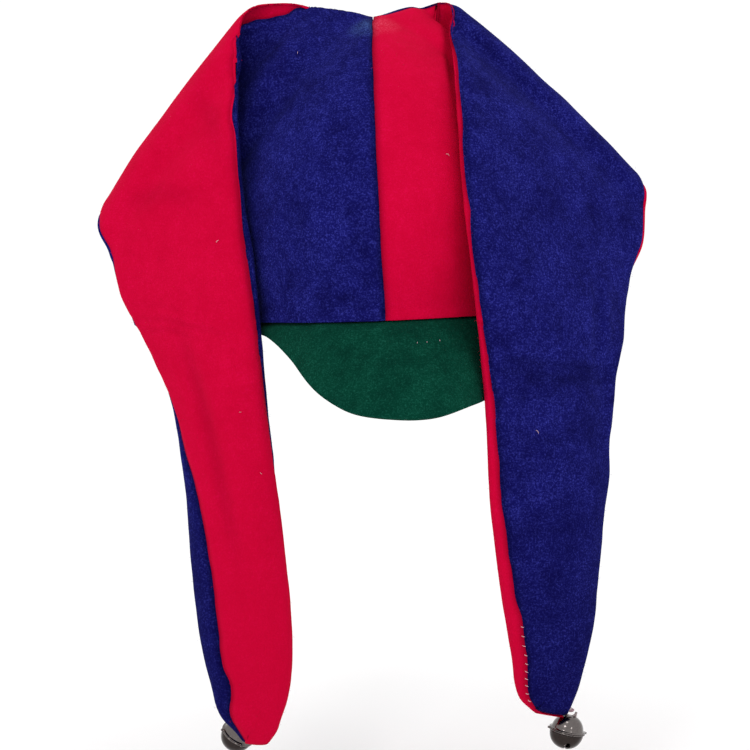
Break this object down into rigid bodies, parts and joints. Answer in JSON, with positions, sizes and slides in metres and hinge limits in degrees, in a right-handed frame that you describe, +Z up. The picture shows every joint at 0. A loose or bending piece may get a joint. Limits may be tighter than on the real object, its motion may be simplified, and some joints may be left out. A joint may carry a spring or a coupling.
{
  "type": "jester hat",
  "caption": "Felt jester hat in blocked colours, with long drooping horns folded forward beside the crown, a soft front peak and a round jingle bell at each horn's tip.",
  "frame": {"origin": "middle of the head opening, at the height of the opening's edge at the sides", "axes": "+Z up through the top of the crown, -Y towards the front where the peak is, +X towards the hat's right side as seen from the front"},
  "size_m": [0.324, 0.2519, 0.4452],
  "materials": {
    "blue_felt": "soft felt, matt",
    "red_felt": "soft felt, matt",
    "green_felt": "soft felt, matt",
    "bell_metal": "bright nickel plate",
    "loop_wire": "dull wire",
    "pellet_iron": "dull ball"
  },
  "bodies": {
    "root": {"panel_front_left": "blue_felt", "panel_back_left": "red_felt", "panel_front_right": "red_felt", "panel_back_right": "blue_felt", "peak": "green_felt", "bell_left_cap": "bell_metal", "bell_left_cup": "bell_metal", "bell_left_loop": "loop_wire", "bell_left_pellet": "pellet_iron", "bell_right_cap": "bell_metal", "bell_right_cup": "bell_metal", "bell_right_loop": "loop_wire", "bell_right_pellet": "pellet_iron"}
  },
  "joints": []
}
